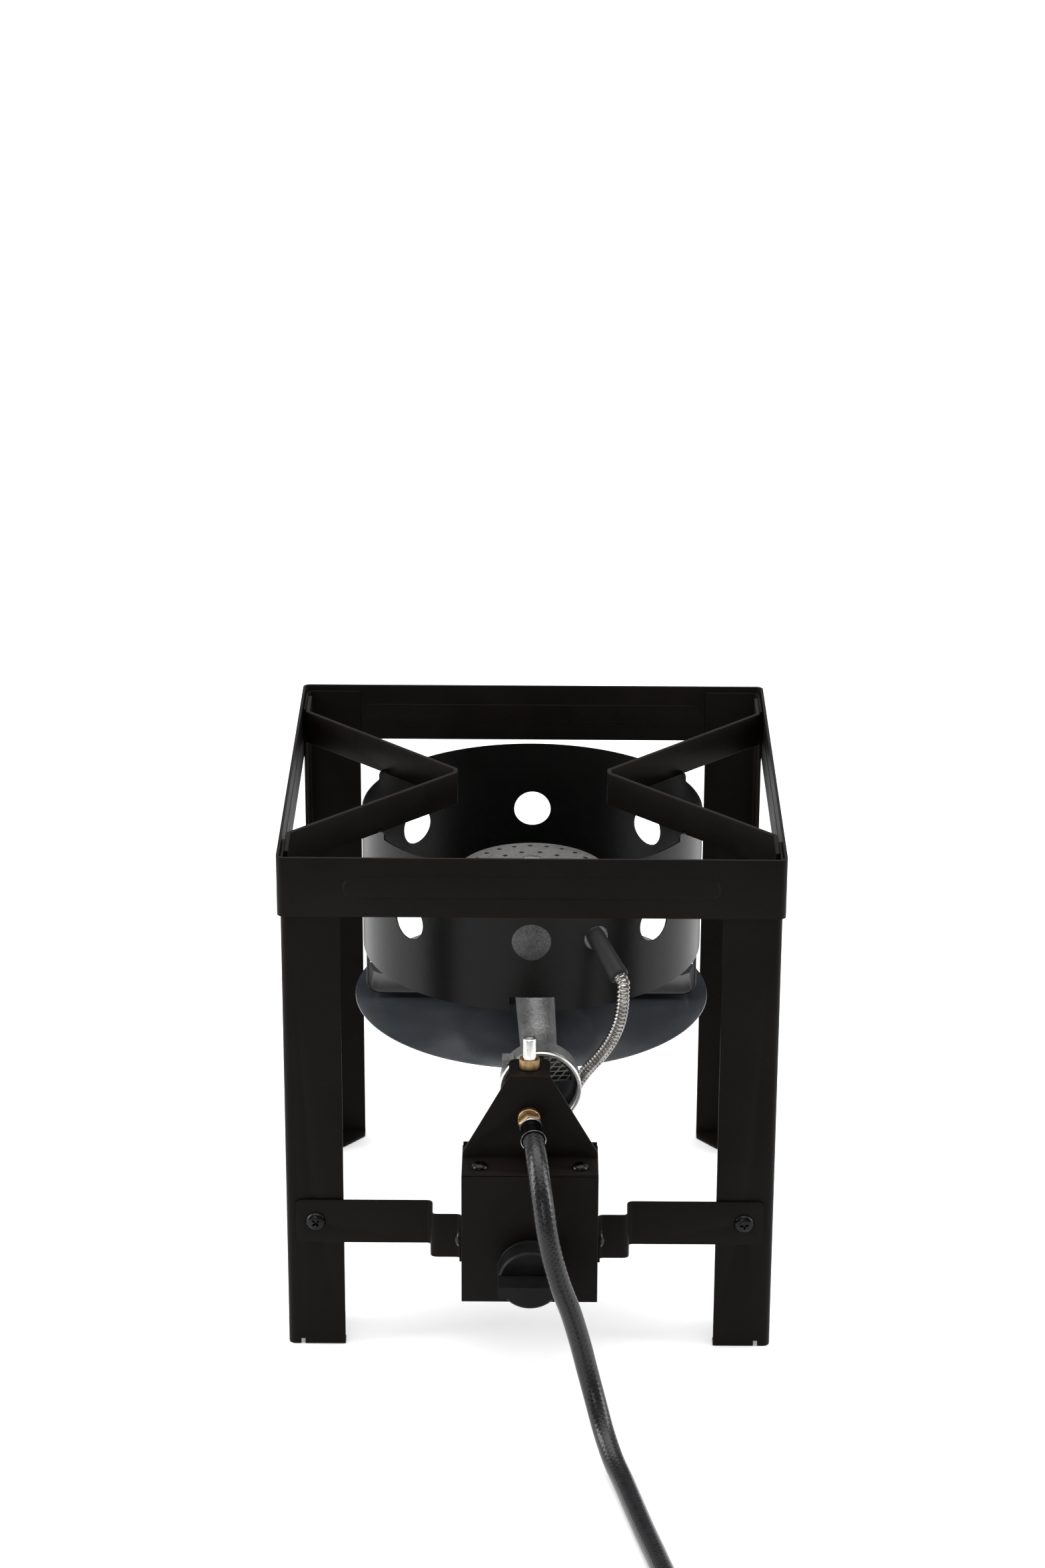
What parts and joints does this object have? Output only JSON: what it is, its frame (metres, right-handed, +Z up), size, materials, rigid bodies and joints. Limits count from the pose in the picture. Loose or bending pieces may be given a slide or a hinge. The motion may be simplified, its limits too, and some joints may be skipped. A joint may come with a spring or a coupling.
{
  "type": "propane burner stand",
  "caption": "Square steel pot stand with a cast burner in a round wind shroud, timer box with push-button safety valve, and a coiled gas hose with regulator.",
  "frame": {"origin": "on the floor, midway across the stand and midway between the back of its top frame and the front of the timer knob", "axes": "+Z up, -Y to the front where the knob and the hose are, +X to the right seen from the front"},
  "size_m": [0.3704, 0.9472, 0.387],
  "materials": {
    "powder_coat": "satin warm black powder coat",
    "shield_paint": "smooth satin blue-black paint",
    "cast_aluminium": "rough as cast, grey",
    "cast_iron": "rough as cast, heat-stained",
    "zinc_steel": "bright zinc plate",
    "stainless": "satin stainless",
    "brass": "dull turned brass",
    "black_screw": "black oxide, semi-gloss",
    "black_plastic": "matte moulded black",
    "black_rubber": "semi-gloss black rubber"
  },
  "bodies": {
    "stand": {"top_frame": "powder_coat", "leg_front_left": "powder_coat", "leg_front_right": "powder_coat", "leg_back_left": "powder_coat", "leg_back_right": "powder_coat", "pot_bar_left": "powder_coat", "pot_bar_right": "powder_coat", "wind_shroud": "powder_coat", "burner_strap": "powder_coat", "control_box": "powder_coat", "box_rear_cover": "powder_coat", "control_bracket": "powder_coat", "box_strap_left": "powder_coat", "box_strap_right": "powder_coat", "heat_shield": "shield_paint", "burner_casting": "cast_aluminium", "regulator_body": "cast_aluminium", "burner_head": "cast_iron", "burner_bolt": "zinc_steel", "burner_nut": "zinc_steel", "shroud_nut_left": "zinc_steel", "shroud_nut_right": "zinc_steel", "strap_nut_left": "zinc_steel", "strap_nut_right": "zinc_steel", "shield_spacer": "zinc_steel", "air_screen": "zinc_steel", "valve_spring": "zinc_steel", "flame_probe": "zinc_steel", "regulator_ferrule": "zinc_steel", "probe_conduit": "stainless", "valve_body": "brass", "gas_orifice": "brass", "valve_bush": "brass", "conduit_nut": "brass", "inlet_fitting": "brass", "shroud_screw_left": "black_screw", "shroud_screw_right": "black_screw", "strap_screw_left": "black_screw", "strap_screw_right": "black_screw", "box_side_screw_left": "black_screw", "box_side_screw_right": "black_screw", "bracket_screw_left": "black_screw", "bracket_screw_right": "black_screw", "timer_body": "black_plastic", "coil_tie": "black_plastic", "probe_boot": "black_rubber", "hose_ferrule": "black_rubber", "gas_hose": "black_rubber", "hose_coil": "black_rubber", "hose_tail": "black_rubber"},
    "button": {"valve_button": "stainless"},
    "knob": {"timer_knob": "black_plastic", "timer_shaft": "zinc_steel"},
    "shutter": {"air_shutter": "shield_paint"},
    "connector": {"connector_nut": "black_plastic"}
  },
  "joints": [
    {"name": "button_press", "type": "slide", "parent": "stand", "child": "button", "axis": [0, 0, -1], "range_m": [0, 0.006], "stiffness_N_per_m": 400, "springref_m": -0.002, "deforming": ["valve_spring"]},
    {"name": "knob_turn", "type": "hinge", "parent": "stand", "child": "knob", "pos_m": [0.0004, -0.19845, 0.103], "axis": [0, 1, 0], "range_deg": [0, 300]},
    {"name": "shutter_turn", "type": "hinge", "parent": "stand", "child": "shutter", "pos_m": [0.00677, -0.10832, 0.2085], "axis": [0.0279, -0.9996, 0], "range_deg": [-40, 40]},
    {"name": "connector_spin", "type": "hinge", "parent": "stand", "child": "connector", "pos_m": [0.162, -0.69845, 0.023], "axis": [0, 1, 0], "continuous": true}
  ]
}
